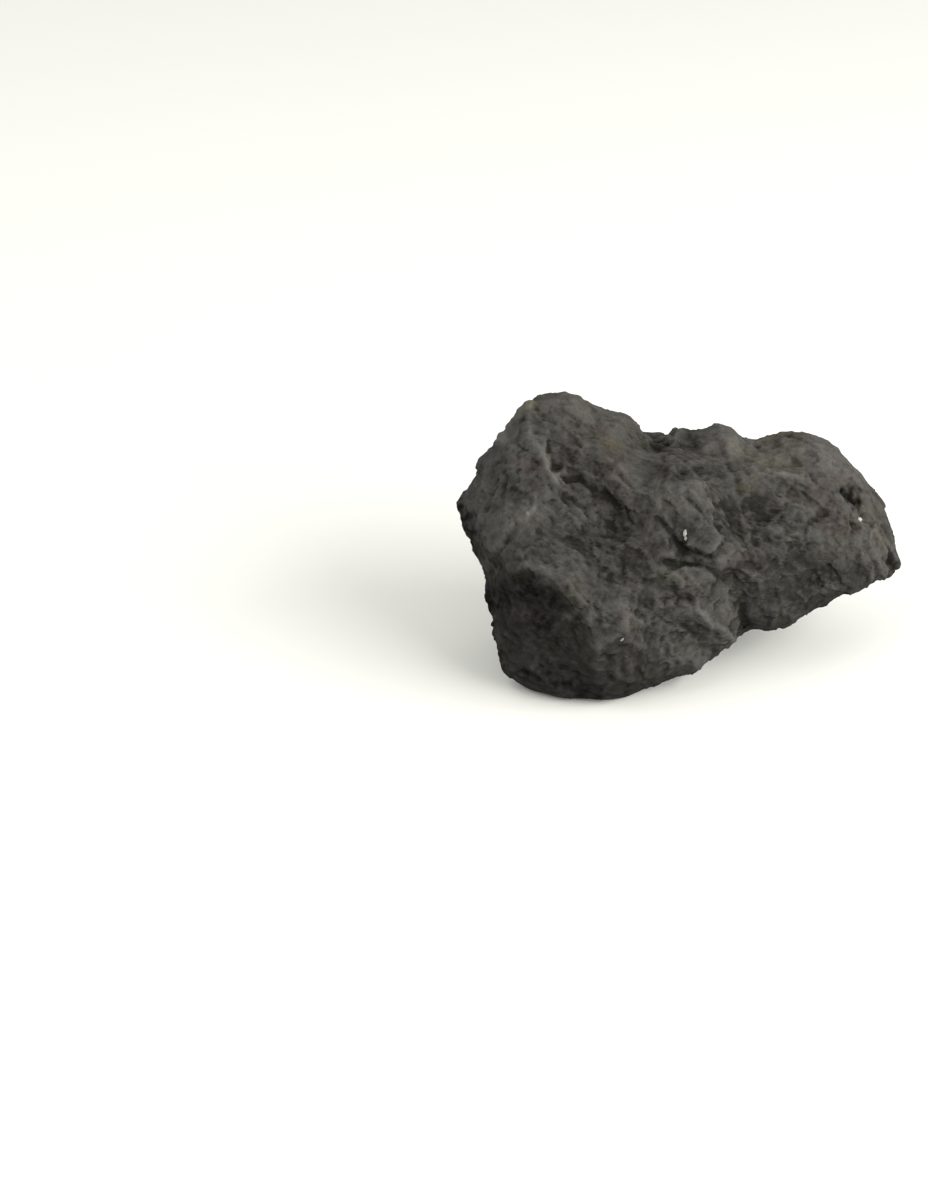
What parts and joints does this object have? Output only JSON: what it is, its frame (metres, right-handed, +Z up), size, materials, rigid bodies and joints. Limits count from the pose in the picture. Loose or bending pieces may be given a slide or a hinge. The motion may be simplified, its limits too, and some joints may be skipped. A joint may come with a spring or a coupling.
{
  "type": "raw shungite stone",
  "caption": "Rough black stone in one piece, tall at one end and low at the other, with a broken front face; rests on a small flat spot.",
  "frame": {"origin": "centre of the bounding box, at the bottom, on the plane that the stone rests on", "axes": "+Z up; +X along the stone's length, from the tall end to the low end; -Y towards the side that the broad broken face is on"},
  "size_m": [0.1, 0.064, 0.0605],
  "materials": {
    "shungite": "matte"
  },
  "bodies": {
    "root": {"shungite_stone": "shungite"}
  },
  "joints": []
}
